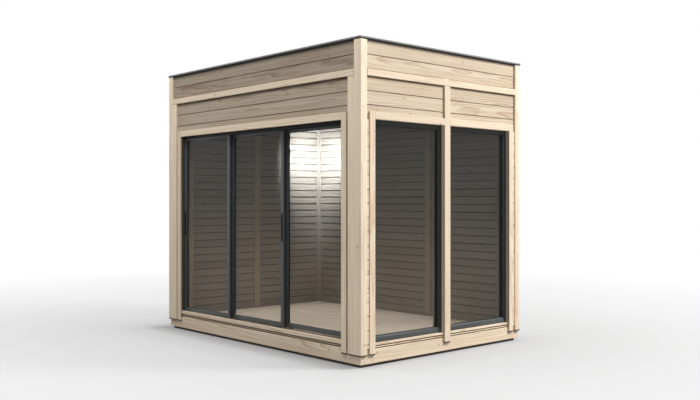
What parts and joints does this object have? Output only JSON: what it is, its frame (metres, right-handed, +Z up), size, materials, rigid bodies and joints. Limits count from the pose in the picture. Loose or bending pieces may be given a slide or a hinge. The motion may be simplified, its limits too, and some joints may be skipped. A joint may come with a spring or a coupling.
{
  "type": "garden house",
  "caption": "Flat-roofed timber garden house with a sliding glazed door wall and fixed full-height windows.",
  "frame": {"origin": "centre of the footprint at ground level, on the underside of the bearers", "axes": "+Z up, +X towards the window wall, -Y out of the sliding door"},
  "size_m": [3.254, 2.29, 2.898],
  "materials": {
    "outer_timber": "planed pale softwood, untreated",
    "inner_boards": "planed softwood boards",
    "floor_boards": "planed softwood floor boards",
    "frame_timber": "sawn softwood",
    "bearer_timber": "dark preserved softwood",
    "frame_metal": "satin dark grey coated aluminium",
    "handle_metal": "satin black",
    "glazing": "clear, slightly tinted",
    "roof_sheet": "matt black roof membrane",
    "edge_metal": "satin anthracite folded sheet"
  },
  "bodies": {
    "house": {"ground_bearers": "bearer_timber", "sills_long": "outer_timber", "sills_short": "outer_timber", "floor_joists": "frame_timber", "floor_deck": "floor_boards", "corner_post_front_right": "outer_timber", "corner_post_front_left": "outer_timber", "corner_post_back_right": "outer_timber", "corner_post_back_left": "outer_timber", "wall_mid_posts": "outer_timber", "window_mullion_post": "outer_timber", "left_wall": "inner_boards", "left_cladding": "outer_timber", "back_wall": "inner_boards", "back_cladding": "outer_timber", "front_header_wall": "inner_boards", "front_header_cladding": "outer_timber", "front_side_walls": "inner_boards", "front_side_claddings": "outer_timber", "right_wall": "inner_boards", "right_cladding": "outer_timber", "inner_corner_strips": "inner_boards", "door_surround": "outer_timber", "window_surround": "outer_timber", "window_cills": "outer_timber", "window_frames": "frame_metal", "window_glass": "glazing", "door_frame": "frame_metal", "door_bottom_track": "frame_metal", "door_threshold": "outer_timber", "door_leaf_3_frame": "frame_metal", "door_leaf_3_glass": "glazing", "ceiling_boards": "inner_boards", "roof_beams": "frame_timber", "roof_deck": "frame_timber", "roof_membrane": "roof_sheet", "roof_flashing": "edge_metal", "fascia_boards": "outer_timber", "fascia_trims": "outer_timber"},
    "door_leaf_1": {"door_leaf_1_frame": "frame_metal", "door_leaf_1_glass": "glazing", "door_leaf_1_handle": "handle_metal"},
    "door_leaf_2": {"door_leaf_2_frame": "frame_metal", "door_leaf_2_glass": "glazing", "door_leaf_2_handle": "handle_metal"}
  },
  "joints": [
    {"name": "door_leaf_1_slide", "type": "slide", "parent": "house", "child": "door_leaf_1", "axis": [1, 0, 0], "range_m": [0, 1.82]},
    {"name": "door_leaf_2_slide", "type": "slide", "parent": "house", "child": "door_leaf_2", "axis": [1, 0, 0], "range_m": [0, 0.94]}
  ]
}
